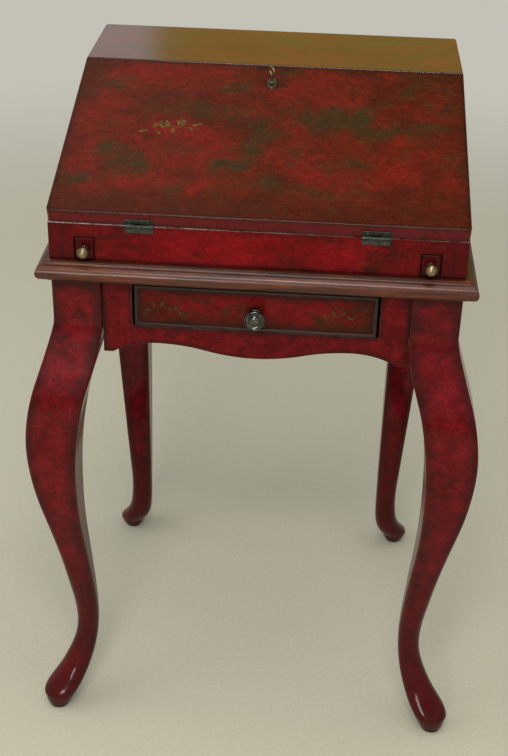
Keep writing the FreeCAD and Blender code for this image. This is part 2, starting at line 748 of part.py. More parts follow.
def make_hinges():
    """A butt hinge on the left, mirrored to the right: a leaf with one knuckle screwed to the rail, a leaf
    with two on the fall's square-cut foot, and a pin through the three."""
    third = "hinge_length / 3"
    low, high = "-hinge_offset - hinge_length / 2", "-hinge_offset + hinge_length / 2"
    ends = [(low, f"{low} + {third} - knuckle_gap"), (f"{high} - {third} + knuckle_gap", high)]
    middle = (f"{low} + {third}", f"{high} - {third}")
    pin_y = "front - pin_offset"
    bore = rod_across("hinge_bore", (f"{low} - overrun", f"{high} + overrun"), pin_y, "pin_height",
                      "pin_diameter / 2 + pin_gap")
    leaf_y = ("front - leaf_thickness", "front")
    plate_top = "pin_height - barrel_diameter / 2 - barrel_gap"
    plate = board("rail_leaf_plate", (low, high), leaf_y, ("pin_height - hinge_leaf", plate_top))
    tab = board("rail_leaf_tab", middle, leaf_y, (plate_top, "pin_height"))
    knuckle = rod_across("rail_leaf_knuckle", middle, pin_y, "pin_height", "barrel_diameter / 2")
    keep_pair(cut("left_rail_hinge_leaf", fuse("rail_leaf_blank", [plate, tab, knuckle]), [bore]))

    leaf_along = ("-leaf_thickness", "0")
    plate_foot = "pin_rise + barrel_diameter / 2 + barrel_gap"
    shapes = [fall_block("fall_leaf_plate", (low, high), leaf_along, (plate_foot, "pin_rise + hinge_leaf"))]
    for end, x in zip(("outer", "inner"), ends):
        shapes.append(fall_block(f"fall_leaf_{end}_tab", x, leaf_along, ("pin_rise", plate_foot)))
        shapes.append(rod_across(f"fall_leaf_{end}_knuckle", x, pin_y, "pin_height", "barrel_diameter / 2"))
    keep_pair(cut("left_fall_hinge_leaf", fuse("fall_leaf_blank", shapes), [bore]))
    keep_pair(rod_across("left_hinge_pin", (low, high), pin_y, "pin_height", "pin_diameter / 2"))


def drawer_box(prefix, name, half, front_y, foot, height):
    """Sides, back and bottom of a drawer behind its front."""
    wall = f"{name}_side_thickness"
    box_y = f"{front_y} + {name}_front_thickness"
    end_y = f"{front_y} + {name}_length"
    side_top = f"{foot} + {height} - {name}_side_drop"
    bottom_foot = f"{foot} + {name}_bottom_rise"
    bottom_top = f"{bottom_foot} + {name}_bottom_thickness"
    inside = (f"{wall} - {half}", f"{half} - {wall}")
    side = board(f"{prefix}_left_side", (f"-{half}", f"{wall} - {half}"), (box_y, end_y), (foot, side_top))
    keep_pair(side)
    keep(board(f"{prefix}_back", inside, (f"{end_y} - {wall}", end_y), (bottom_top, side_top)))
    keep(board(f"{prefix}_bottom", inside, (box_y, end_y), (bottom_foot, bottom_top)))


def make_drawer():
    half = "(drawer_opening / 2 - drawer_gap)"
    foot = "opening_foot + lift_gap"
    height = "drawer_height - lift_gap - drawer_head"
    top = f"{foot} + {height}"
    blank = board("drawer_front_blank", (f"-{half}", half),
                  ("apron_front", "apron_front + drawer_front_thickness"), (foot, top))
    bead_y = ("apron_front - bead_proud", "apron_front - bead_proud + bead_depth")
    ring = board("drawer_bead_blank", (f"-{half}", half), bead_y, (foot, top))
    inside = board("drawer_bead_inside", (f"bead_width - {half}", f"{half} - bead_width"),
                   ("apron_front - overrun", "apron_front + bead_depth + overrun"),
                   (f"{foot} + bead_width", f"{top} - bead_width"))
    bead = keep(cut("drawer_bead", ring, [inside]))
    keep(cut("drawer_front", blank, [bead]))
    drawer_box("drawer", "drawer", half, "apron_front", foot, f"({height})")
    radius = "knob_diameter / 2"
    outline = [[("0", "0")]]
    for corner in KNOB_SHARES:
        outline.append([(f"{out} * {radius}", f"-{along} * knob_reach") for out, along in corner])
    knob = keep(turned("drawer_knob", outline))
    set_place(knob, "0", "apron_front", f"{foot} + ({height}) / 2 - knob_drop")


def make_nest():
    nest_y = ("nest_front", "back - back_thickness")
    keep_pair(board("left_divider", ("-small_opening / 2 - divider_thickness", "-small_opening / 2"), nest_y,
                    ("rail_top", "top_foot")))
    keep(board("nest_shelf", ("-small_opening / 2", "small_opening / 2"), nest_y,
               ("shelf_foot", "shelf_foot + divider_thickness")))
    half = "(small_opening / 2 - small_gap)"
    foot = "rail_top + lift_gap"
    height = "(small_height - lift_gap - small_gap)"
    keep(board("small_drawer_front", (f"-{half}", half), ("nest_front", "nest_front + small_front_thickness"),
               (foot, f"{foot} + {height}")))
    drawer_box("small_drawer", "small", half, "nest_front", foot, height)
    knob = keep(ball_knob("small_drawer_knob", "small"))
    set_place(knob, "0", "nest_front", f"{foot} + {height} / 2")


def check(objects):
    """Stops before anything is written if an object failed or a piece isn't a sound solid."""
    for thing in objects:
        if "Invalid" in thing.State or "Error" in thing.State:
            raise RuntimeError(f"{thing.Label} failed to build")
    for piece in pieces:
        shape = piece.Shape
        if shape.isNull() or not shape.isValid() or not shape.Solids:
            raise RuntimeError(f"{piece.Label} isn't a sound solid")
        if any(solid.Volume <= 0 for solid in shape.Solids):
            raise RuntimeError(f"{piece.Label} has an empty solid")


make_legs()
make_aprons()
make_runners()
make_glue_blocks()
make_stand_top()
make_case()
make_top_board()
make_lopers()
make_fall()
make_key()
make_hinges()
make_drawer()
make_nest()
doc.recompute()
check(doc.Objects)

os.makedirs("parts", exist_ok=True)
for piece in pieces:
    piece.Shape.exportStep(os.path.join("parts", piece.Label + ".step"))
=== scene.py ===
import math

import bmesh
import bpy
from mathutils import Matrix, Vector


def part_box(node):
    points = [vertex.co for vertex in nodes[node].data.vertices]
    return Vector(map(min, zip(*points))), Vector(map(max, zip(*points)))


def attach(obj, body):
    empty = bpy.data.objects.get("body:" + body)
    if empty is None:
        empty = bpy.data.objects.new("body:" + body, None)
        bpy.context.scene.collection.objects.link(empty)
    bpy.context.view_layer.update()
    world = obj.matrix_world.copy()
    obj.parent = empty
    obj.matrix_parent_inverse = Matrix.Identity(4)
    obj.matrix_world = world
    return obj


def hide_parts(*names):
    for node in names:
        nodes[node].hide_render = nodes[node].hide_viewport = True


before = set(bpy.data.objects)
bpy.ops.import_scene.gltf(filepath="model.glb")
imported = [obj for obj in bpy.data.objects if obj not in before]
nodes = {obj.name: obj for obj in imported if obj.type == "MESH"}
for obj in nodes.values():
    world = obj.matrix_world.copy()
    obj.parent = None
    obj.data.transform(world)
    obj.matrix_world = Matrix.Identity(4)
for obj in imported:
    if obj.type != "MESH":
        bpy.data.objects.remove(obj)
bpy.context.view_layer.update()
scene = bpy.context.scene

MM = 0.001

# Samples of the shader nodes that look for edges and corners.
EDGE_SAMPLES = 8

# Places of the desk, in metres, as in the part's source.
FALL_SLOPE = math.radians(17)
FALL_THICKNESS = 18 * MM
FALL_LENGTH = 305.7 * MM
HALF_WIDTH = 247.5 * MM
FRONT_Y = -201.25 * MM
BACK_Y = 242.75 * MM
RAIL_TOP_Z = 751.4 * MM
FALL_FOOT_Z = 751.9 * MM
APRON_FRONT_Y = -194.25 * MM

# Frames on the faces that carry small pieces: across, up the face, out from it.
FALL_FACE = (Matrix.Translation((0, FRONT_Y, FALL_FOOT_Z)) @ Matrix.Rotation(FALL_SLOPE, 4, "X")
             @ Matrix.Translation((0, 0, FALL_THICKNESS)))
APRON_FACE = Matrix.Translation((0, APRON_FRONT_Y, 0)) @ Matrix.Rotation(math.radians(90), 4, "X")
RAIL_FACE = Matrix.Translation((0, FRONT_Y, 0)) @ Matrix.Rotation(math.radians(90), 4, "X")
FALL_FOOT_FACE = (Matrix.Translation((0, FRONT_Y, FALL_FOOT_Z))
                  @ Matrix.Rotation(FALL_SLOPE + math.radians(90), 4, "X"))
BACK_FACE = (Matrix.Translation((0, BACK_Y, 0)) @ Matrix.Rotation(math.radians(180), 4, "Z")
             @ Matrix.Rotation(math.radians(90), 4, "X"))

# The fittings that carry screws and pins: how far the hinges lie from the middle, the height of their line,
# the thickness of a leaf, the lock's axis up the fall, and the thickness of the escutcheon.
HINGE_X_MM = 139
HINGE_LINE_MM = 751.5
LEAF_MM = 1.2
KEY_AXIS_MM = 265.7
ESCUTCHEON_MM = 1.2

# Hinge screws: each one's offset along the hinge and the turn of its slot in degrees, the drop from the hinge
# line on the rail, and the rise from the fall's lower arris, where the slots have a further turn.
HINGE_SCREWS = ((-10.5, 20), (10.5, 65))
RAIL_SCREW_DROP_MM = 5.8
FALL_SCREW_RISE_MM = 6.2
FALL_SCREW_TURN = 40
SCREW_RADIUS = 1.8 * MM
SCREW_HEIGHT = 0.4 * MM
SCREW_SLOT = 0.6 * MM

# The escutcheon's pins, above and below the lock's axis, and the nails in the back panel.
PIN_OFFSETS_MM = (-9.8, 9.8)
PIN_RADIUS = 0.9 * MM
PIN_HEIGHT = 0.5 * MM
NAIL_X_MM = (-215, -108, 0, 108, 215)
NAIL_Z_MM = (713, 832)
NAIL_RADIUS = 2.2 * MM
NAIL_HEIGHT = 0.8 * MM

# The drawer's bead.
BEAD_WIDTH = 5 * MM
BEAD_ROUNDING = 1.9 * MM

# Gilt strokes: each blossom or leaf by its place across and up the face in millimetres, its turn in degrees
# and its size. A stem is given by the centre of its curve and its turn, and on the drawer by its side and
# sweep too.
GILT_HEIGHT = 0.2 * MM
FALL_BLOSSOMS = ((-128, 171, 10, 1.0), (-107, 176, 40, 0.8))
FALL_LEAVES = ((-147, 158, 200, 1.0), (-141, 162, 75, 0.8), (-137, 160, 300, 0.9), (-118, 165, 285, 1.0),
               (-95, 170, 20, 1.1), (-99, 167, 320, 0.8))
FALL_STEM = (-120, 87, 68)
DRAWER_STEMS = (("left", -112, 52, 62), ("right", 104, 66, 50))
DRAWER_STEM_UP_MM = 606
DRAWER_LEAVES = ((-127, 638, 190, 1.0), (-122, 640, 110, 0.9), (-116, 642, 60, 1.1), (-108, 642, 320, 1.0),
                 (-100, 640, 30, 1.2), (-94, 637, 300, 1.0), (-132, 634, 230, 0.9), (92, 639, 200, 1.0),
                 (98, 641, 120, 1.1), (104, 642, 50, 1.0), (111, 641, 330, 1.1), (117, 639, 40, 0.9),
                 (88, 637, 150, 0.9))

# Stage: the floor's half width and the distances between which it fades into the backdrop, in metres, and the
# width of its tufts.
FLOOR_HALF = 30
FADE_START = 1.3
FADE_END = 2.8
PILE_MM = 5
BACKDROP = "#d8d6ca"

# The room that the gloss shows, by direction: each part's axis, and where along it the part begins and is
# full. The ceiling goes from pale to dim along X.
RIGHT_WALL = ("X", -0.142, -0.122)
SIDE_WALL = ("X", 0.15, 0.5)
BACK_WALL = ("Y", -0.1, 0.35)
CEILING = ("Z", 0.5, 0.75)
CEILING_PALE_X = -0.2
CEILING_DIM_X = 0.05
ROOM_LIGHT = "#d2d1cc"
ROOM_STRENGTH = 0.8

# Soft boxes: name, place, width and height in metres, watts and tint. All are aimed at one point.
LAMPS = (
    ("front_box", (0.0, -1.9, 2.7), (1.0, 0.35), 24.0, "#fffaf2"),
    ("front_window", (-0.6, -3.3, 1.28), (0.8, 0.55), 24.0, "#fffdf8"),
    ("window_box", (-2.6, -0.5, 1.7), (2.6, 2.4), 28.0, "#f6f9ff"),
    ("ceiling_box", (0.3, -0.4, 3.2), (2.2, 1.2), 18.0, "#fffdf6"),
)
LAMP_AIM = Vector((0, 0, 0.6))
UNSEEN_IN_GLOSS = "window_box"

# Camera: where the photograph was taken from, and its focal length in pixels of the 756 pixel long side.
CAMERA_PLACE = (0.0790, -1.6081, 1.3988)
CAMERA_PITCH = math.radians(30.99)
CAMERA_YAW = math.radians(-3.182)
CAMERA_ROLL = math.radians(1.524)
FOCAL_PIXELS = 1321
LONG_SIDE_PIXELS = 756
SENSOR_MM = 36


def colour(text):
    """A linear colour from sRGB hex."""
    levels = [int(text[i:i + 2], 16) / 255 for i in (1, 3, 5)]
    return [v / 12.92 if v <= 0.04045 else ((v + 0.055) / 1.055) ** 2.4 for v in levels] + [1]


def add(tree, kind, inputs=None, **settings):
    """Adds a node; a socket given as an input is linked and any other value is set."""
    node = tree.nodes.new("ShaderNode" + kind)
    for name, value in settings.items():
        setattr(node, name, value)
    for name, value in (inputs or {}).items():
        if isinstance(value, bpy.types.NodeSocket):
            tree.links.new(value, node.inputs[name])
        else:
            node.inputs[name].default_value = value
    return node


def start_material(name, **sockets):
    """A material with one shader, and its tree, shader and Object coordinates."""
    material = bpy.data.materials.new(name)
    material.use_nodes = True
    tree = material.node_tree
    shader = tree.nodes["Principled BSDF"]
    for socket, value in sockets.items():
        shader.inputs[socket.replace("_", " ")].default_value = value
    place = add(tree, "TexCoord").outputs["Object"]
    return material, tree, shader, place


def per_mm(size):
    """Texture scale for a pattern whose features are this many millimetres across."""
    return 1 / (size * MM)


def arris(tree, radius_mm, sharp, soft):
    """Zero on flat ground, rising to one at the edges within a radius."""
    rounded = add(tree, "Bevel", {"Radius": radius_mm * MM}, samples=EDGE_SAMPLES).outputs[0]
    flat = add(tree, "NewGeometry").outputs["Normal"]
    facing = add(tree, "VectorMath", {0: rounded, 1: flat}, operation="DOT_PRODUCT").outputs["Value"]
    return add(tree, "MapRange", {"Value": facing, "From Min": soft, "From Max": sharp},
               interpolation_type="SMOOTHSTEP").outputs[0]


# Sizes of the lacquer's patterns.
CELL_MM = 7
CELL_WANDER_MM = 9
BRUSH_MM = 4
SPECK_MM = 2.6
PATCH_MM = 30
WEAR_MM = 18
SWIRL_MM = 8
CORNER_MM = 16
SOFT_EDGE_MM = 0.8

# A cloud's share is measured over the range that noise seldom leaves: its upper end, and its span.
NOISE_HIGH = 0.72
NOISE_SPAN = 0.44

# Tints of the brown glazing and painted shade at edges, of the painted shade in corners, of the pale that
# marks rubbed arrises and paints their highlight, and of the fall's edges and inner face.
EDGE_GLAZE_AND_SHADE_BROWN = "#280f0a"
CORNER_SHADE_BROWN = "#1c0808"
RUBBED_AND_HIGHLIT_PALE = "#b4a3a0"
RIM_CRIMSON = "#620b11"


# Red lacquer over a brown ground, brushed on in clouds and glazed: crimson, rust brown and olive drift into
# one another, and a faint craze of small round cells lies over them. The edges are browner, with glazing and
# with painted shade; the corners carry painted shade, and the arrises are rubbed pale, which also paints
# their highlight. The shine is clear but low.
def craze(tree, place):
    """Small wandering cells: their random colours, split, and the distance from their cracks."""
    wander = add(tree, "TexNoise", {"Vector": place, "Scale": per_mm(CELL_WANDER_MM),
                                    "Detail": 2.0}).outputs["Color"]
    wander = add(tree, "VectorMath", {0: wander, 1: (0.5, 0.5, 0.5)}, operation="SUBTRACT").outputs[0]
    wander = add(tree, "VectorMath", {0: wander, "Scale": CELL_WANDER_MM * MM}, operation="SCALE").outputs[0]
    crazed = add(tree, "VectorMath", {0: place, 1: wander}, operation="ADD").outputs[0]
    cells = add(tree, "TexVoronoi", {"Vector": crazed, "Scale": per_mm(CELL_MM)}).outputs["Color"]
    cracks = add(tree, "TexVoronoi", {"Vector": crazed, "Scale": per_mm(CELL_MM)},
                 feature="DISTANCE_TO_EDGE").outputs["Distance"]
    return add(tree, "SeparateColor", {"Color": cells}).outputs, cracks


def clouds(tree, place, cells, tones, shares, cloud_mm, stretch):
    """Soft drifts of three tones over the first; each cell pulls the drift under it a little one way."""
    ground, bright, brown, olive = tones
    drift = add(tree, "Mapping", {"Vector": place, "Scale": (1 / stretch, 1, 1)}).outputs[0]
    aside = add(tree, "Mapping", {"Vector": drift, "Location": (0.31, 0.17, 0.53)}).outputs[0]
    paint = ground
    for vector, size_mm, share, softness, cell, tone in (
            (drift, cloud_mm, shares[0], 0.2, cells[0], bright),
            (aside, cloud_mm * 0.9, shares[1], 0.19, cells[1], brown),
            (drift, cloud_mm * 0.75, shares[2], 0.15, cells[2], olive)):
        shape = add(tree, "TexNoise", {"Vector": vector, "Scale": per_mm(size_mm), "Detail": 3.0,
                                       "Roughness": 0.5, "Distortion": 0.4}).outputs["Fac"]
        pull = add(tree, "MapRange", {"Value": cell, "To Min": -0.03, "To Max": 0.03}).outputs[0]
        shape = add(tree, "Math", {0: shape, 1: pull}, operation="ADD").outputs[0]
        middle = NOISE_HIGH - NOISE_SPAN * share
        mask = add(tree, "MapRange", {"Value": shape, "From Min": middle - softness,
                                      "From Max": middle + softness},
                   interpolation_type="SMOOTHSTEP").outputs[0]
        paint = add(tree, "Mix", {0: mask, 6: paint, 7: tone}, data_type="RGBA").outputs[2]
    return paint


def brushwork(tree, place, cell, cracks, paint):
    """Darkens and lightens paint by its cells, cracks, brush marks and specks."""
    streaks = add(tree, "Mapping", {"Vector": place, "Scale": (0.22, 1, 1)}).outputs[0]
    brush = add(tree, "TexNoise", {"Vector": streaks, "Scale": per_mm(BRUSH_MM),
                                   "Detail": 3.0}).outputs["Fac"]
    speck = add(tree, "TexNoise", {"Vector": place, "Scale": per_mm(SPECK_MM), "Detail": 2.0}).outputs["Fac"]
    for value, low, high, dark, pale in ((cell, 0.0, 1.0, 0.88, 1.12), (cracks, 0.0, 0.12, 0.78, 1.0),
                                         (brush, 0.3, 0.7, 0.9, 1.09), (speck, 0.3, 0.7, 0.88, 1.1)):
        shade = add(tree, "MapRange", {"Value": value, "From Min": low, "From Max": high, "To Min": dark,
                                       "To Max": pale}).outputs[0]
        paint = add(tree, "Mix", {0: 1.0, 6: paint, 7: shade}, data_type="RGBA",
                    blend_type="MULTIPLY").outputs[2]
    return paint


def aged_edges(tree, place, patchy, paint, edge_darkening, rub, rubbed_and_highlit_at):
    """Brown glazing and painted shade along the edges, painted shade in corners and where pieces meet, and
    rubbed arrises that also carry a painted highlight.
    """
    depth, width_mm = edge_darkening
    uneven = add(tree, "MapRange", {"Value": patchy, "From Min": 0.3, "From Max": 0.65, "To Min": 0.5 * depth,
                                    "To Max": depth}).outputs[0]
    # Edges browned: glazing, and painted shade where rounded surfaces turn from the light.
    within = add(tree, "AmbientOcclusion", {"Distance": width_mm * MM}, samples=EDGE_SAMPLES, inside=True,
                 only_local=True).outputs["AO"]
    edge = add(tree, "MapRange", {"Value": within, "From Min": 0.97, "From Max": 0.62},
               interpolation_type="SMOOTHSTEP").outputs[0]
    edge = add(tree, "Math", {0: edge, 1: uneven}, operation="MULTIPLY").outputs[0]
    paint = add(tree, "Mix", {0: edge, 6: paint, 7: colour(EDGE_GLAZE_AND_SHADE_BROWN)}, data_type="RGBA").outputs[2]
    # Painted shade in corners and where pieces meet.
    open_air = add(tree, "AmbientOcclusion", {"Distance": CORNER_MM * MM}, samples=EDGE_SAMPLES).outputs["AO"]
    shut = add(tree, "MapRange", {"Value": open_air, "From Min": 0.45, "From Max": 0.92, "To Min": 0.75,
                                  "To Max": 0.0}).outputs[0]
    paint = add(tree, "Mix", {0: shut, 6: paint, 7: colour(CORNER_SHADE_BROWN)}, data_type="RGBA").outputs[2]
    # Rubbed arrises, painted pale: wear, and also the arrises' painted highlight.
    worn = add(tree, "TexNoise", {"Vector": place, "Scale": per_mm(WEAR_MM), "Detail": 6.0,
                                  "Roughness": 0.75}).outputs["Fac"]
    worn = add(tree, "MapRange", {"Value": worn, "From Min": 0.42, "From Max": 0.58,
                                  "To Max": rub}).outputs[0]
    rubbed = rubbed_and_highlit_at(tree, place) if rubbed_and_highlit_at else arris(tree, radius_mm=1.2, sharp=0.8, soft=0.97)
    rubbed_and_highlit = add(tree, "Math", {0: rubbed, 1: worn}, operation="MULTIPLY").outputs[0]
    return add(tree, "Mix", {0: rubbed_and_highlit, 6: paint, 7: colour(RUBBED_AND_HIGHLIT_PALE)}, data_type="RGBA").outputs[2]


def lacquer(name, tones, shares, cloud_mm, stretch, edge_darkening, rub, roughness, shine, border=None, rim=None,
            rubbed_and_highlit_at=None):
    """Tones are the ground and three clouds over it, and shares are how much each cloud covers. The pair for
    the edges gives the depth and width of the brown glazing and painted shade there, and shine is the
    specular level and the coat. Border and rim are masks for brown and crimson, and the last mask is for wear
    with its painted highlight."""
    material, tree, shader, place = start_material(name, Roughness=roughness, Specular_IOR_Level=shine[0],
                                                   Coat_Weight=shine[1], Coat_Roughness=0.07)
    tones = [colour(tone) for tone in tones]
    brown = tones[2]
    cells, cracks = craze(tree, place)
    paint = clouds(tree, place, cells, tones, shares, cloud_mm, stretch)
    patchy = add(tree, "TexNoise", {"Vector": place, "Scale": per_mm(PATCH_MM), "Detail": 4.0}).outputs["Fac"]
    if border:
        masked = add(tree, "Math", {0: patchy, 1: 0.5}, operation="SUBTRACT").outputs[0]
        masked = add(tree, "Math", {0: masked, 1: border(tree, place)}, operation="ADD").outputs[0]
        masked = add(tree, "MapRange", {"Value": masked, "From Min": 0.15, "From Max": 0.85, "To Max": 0.85},
                     interpolation_type="SMOOTHSTEP").outputs[0]
        paint = add(tree, "Mix", {0: masked, 6: paint, 7: brown}, data_type="RGBA").outputs[2]
    if rim:
        paint = add(tree, "Mix", {0: rim(tree, place), 6: paint, 7: colour(RIM_CRIMSON)},
                    data_type="RGBA").outputs[2]
    paint = brushwork(tree, place, cells[0], cracks, paint)
    paint = aged_edges(tree, place, patchy, paint, edge_darkening, rub, rubbed_and_highlit_at)
    tree.links.new(paint, shader.inputs["Base Color"])

    swirl = add(tree, "TexNoise", {"Vector": place, "Scale": per_mm(SWIRL_MM), "Detail": 3.0}).outputs["Fac"]
    dull = add(tree, "MapRange", {"Value": swirl, "From Min": 0.3, "From Max": 0.7,
                                  "To Min": roughness - 0.05, "To Max": roughness + 0.09}).outputs[0]
    tree.links.new(dull, shader.inputs["Roughness"])
    softened = add(tree, "Bevel", {"Radius": SOFT_EDGE_MM * MM}, samples=EDGE_SAMPLES).outputs[0]
    relief = add(tree, "MapRange", {"Value": cracks, "From Max": 0.2}).outputs[0]
    bump = add(tree, "Bump", {"Height": relief, "Strength": 0.25, "Distance": 0.08 * MM,
                              "Normal": softened}).outputs[0]
    bump = add(tree, "Bump", {"Height": swirl, "Strength": 0.3, "Distance": 0.2 * MM,
                              "Normal": bump}).outputs[0]
    tree.links.new(bump, shader.inputs["Normal"])
    return material


# Masks from zero to one: where the brown glazing lies thickest on the fall, the rail and the drawer's front,
# where the legs grow browner towards the foot, where the fall is crimson, and where the rail is rubbed and
# carries a painted highlight.
def fall_border(tree, place):
    """The foot, the head and the sides of the fall."""
    uphill = Vector((0, math.cos(FALL_SLOPE), math.sin(FALL_SLOPE)))
    along = add(tree, "VectorMath", {0: place, 1: uphill}, operation="DOT_PRODUCT").outputs["Value"]
    foot = uphill.dot(Vector((0, FRONT_Y, FALL_FOOT_Z)))
    low = add(tree, "MapRange", {"Value": along, "From Min": foot + 62 * MM,
                                 "From Max": foot + 8 * MM}).outputs[0]
    high = add(tree, "MapRange", {"Value": along, "From Min": foot + FALL_LENGTH - 24 * MM,
                                  "From Max": foot + FALL_LENGTH, "To Max": 0.7}).outputs[0]
    across = add(tree, "SeparateXYZ", {"Vector": place}).outputs["X"]
    across = add(tree, "Math", {0: across}, operation="ABSOLUTE").outputs[0]
    side = add(tree, "MapRange", {"Value": across, "From Min": HALF_WIDTH - 50 * MM, "From Max": HALF_WIDTH,
                                  "To Max": 0.75}).outputs[0]
    ends = add(tree, "Math", {0: low, 1: high}, operation="MAXIMUM").outputs[0]
    return add(tree, "Math", {0: ends, 1: side}, operation="MAXIMUM").outputs[0]


def fall_rim(tree, place):
    """One on the fall's edges and inner face, which are plain crimson, and zero on its outer face."""
    outward = Vector((0, -math.sin(FALL_SLOPE), math.cos(FALL_SLOPE)))
    out = add(tree, "VectorMath", {0: place, 1: outward}, operation="DOT_PRODUCT").outputs["Value"]
    face = outward.dot(Vector((0, FRONT_Y, FALL_FOOT_Z))) + FALL_THICKNESS
    return add(tree, "MapRange", {"Value": out, "From Min": face - 0.9 * MM,
                                  "From Max": face - 2 * MM}).outputs[0]


def case_front(tree, depth):
    """One on the front of the case, and zero behind it."""
    return add(tree, "MapRange", {"Value": depth, "From Min": FRONT_Y + 3 * MM,
                                  "From Max": FRONT_Y + 1.5 * MM}).outputs[0]


def rail_ends(tree, place):
    """The two ends of the rail's front."""
    split = add(tree, "SeparateXYZ", {"Vector": place})
    across = add(tree, "Math", {0: split.outputs["X"]}, operation="ABSOLUTE").outputs[0]
    side = add(tree, "MapRange", {"Value": across, "From Min": HALF_WIDTH - 120 * MM,
                                  "From Max": HALF_WIDTH - 20 * MM, "To Max": 0.8}).outputs[0]
    front = case_front(tree, split.outputs["Y"])
    return add(tree, "Math", {0: side, 1: front}, operation="MULTIPLY").outputs[0]


def rail_lip(tree, place):
    """The rail's top front arris, rubbed by the fall and painted with a highlight, most of all at the left.
    """
    split = add(tree, "SeparateXYZ", {"Vector": place})
    top = add(tree, "MapRange", {"Value": split.outputs["Z"], "From Min": RAIL_TOP_Z - 1.2 * MM,
                                 "From Max": RAIL_TOP_Z - 0.4 * MM}).outputs[0]
    front = case_front(tree, split.outputs["Y"])
    left = add(tree, "MapRange", {"Value": split.outputs["X"], "From Min": 50 * MM,
                                  "From Max": -150 * MM, "To Min": 0.15, "To Max": 0.6}).outputs[0]
    lip = add(tree, "Math", {0: top, 1: front}, operation="MULTIPLY").outputs[0]
    return add(tree, "Math", {0: lip, 1: left}, operation="MULTIPLY").outputs[0]


def drawer_border(tree, place):
    """The two ends and the foot of the drawer's front."""
    low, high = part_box("drawer_front")
    split = add(tree, "SeparateXYZ", {"Vector": place})
    across = add(tree, "Math", {0: split.outputs["X"]}, operation="ABSOLUTE").outputs[0]
    side = add(tree, "MapRange", {"Value": across, "From Min": high[0] - 55 * MM,
                                  "From Max": high[0]}).outputs[0]
    foot = add(tree, "MapRange", {"Value": split.outputs["Z"], "From Min": low[2] + 26 * MM,
                                  "From Max": low[2] + 4 * MM}).outputs[0]
    return add(tree, "Math", {0: side, 1: foot}, operation="MAXIMUM").outputs[0]


def leg_border(tree, place):
    """The legs, more and more towards the foot."""
    height = add(tree, "SeparateXYZ", {"Vector": place}).outputs["Z"]
    return add(tree, "MapRange", {"Value": height, "From Min": 460 * MM, "From Max": 80 * MM,
                                  "To Max": 0.75}).outputs[0]


# Pores are drawn this coarse because real ones are too fine to show.
PORE_MM = 1.8
WOOD_CORNER_MM = 9
WOOD_CORNER_SHADE = "#180a06"


# Sawn or varnished wood: long streaks of darker grain with fine pores along them, painted shade in its
# corners, and a satin or oiled shine that the streaks break up.
def wood(name, pale, dark, grain_mm, along, roughness, coat, edge, run=20, coat_roughness=0.14):
    """The grain lies along one axis, run times as long as it is wide, and edge is how dark the painted shade
    in the corners is.
    """
    material, tree, shader, place = start_material(name, Roughness=roughness, Specular_IOR_Level=0.35,
                                                   Coat_Weight=coat, Coat_Roughness=coat_roughness)
    scale = [1.0, 1.0, 1.0]
    scale["XYZ".index(along)] = 1 / run
    long = add(tree, "Mapping", {"Vector": place, "Scale": scale}).outputs[0]
    grain = add(tree, "TexNoise", {"Vector": long, "Scale": per_mm(grain_mm), "Detail": 6.0,
                                   "Roughness": 0.68, "Distortion": 0.7}).outputs["Fac"]
    pores = add(tree, "TexNoise", {"Vector": long, "Scale": per_mm(PORE_MM), "Detail": 2.0}).outputs["Fac"]
    streak = add(tree, "MapRange", {"Value": grain, "From Min": 0.36, "From Max": 0.64}).outputs[0]
    tint = add(tree, "Mix", {0: streak, 6: colour(dark), 7: colour(pale)}, data_type="RGBA").outputs[2]
    pore = add(tree, "MapRange", {"Value": pores, "From Min": 0.34, "From Max": 0.52,
                                  "To Min": 0.62}).outputs[0]
    tint = add(tree, "Mix", {0: 1.0, 6: tint, 7: pore}, data_type="RGBA", blend_type="MULTIPLY").outputs[2]
    # Painted shade in corners and hollows.
    open_air = add(tree, "AmbientOcclusion", {"Distance": WOOD_CORNER_MM * MM},
                   samples=EDGE_SAMPLES).outputs["AO"]
    shut = add(tree, "MapRange", {"Value": open_air, "From Min": 0.4, "From Max": 0.95, "To Min": edge,
                                  "To Max": 0.0}).outputs[0]
    tint = add(tree, "Mix", {0: shut, 6: tint, 7: colour(WOOD_CORNER_SHADE)}, data_type="RGBA").outputs[2]
    tree.links.new(tint, shader.inputs["Base Color"])
    dull = add(tree, "MapRange", {"Value": grain, "From Min": 0.36, "From Max": 0.64,
                                  "To Min": roughness + 0.1, "To Max": roughness - 0.02}).outputs[0]
    tree.links.new(dull, shader.inputs["Roughness"])
    softened = add(tree, "Bevel", {"Radius": SOFT_EDGE_MM * MM}, samples=EDGE_SAMPLES).outputs[0]
    bump = add(tree, "Bump", {"Height": pores, "Strength": 0.25, "Distance": 0.15 * MM,
                              "Normal": softened}).outputs[0]
    tree.links.new(bump, shader.inputs["Normal"])
    return material


METAL_CORNER_MM = 4
METAL_EDGE_MM = 0.35


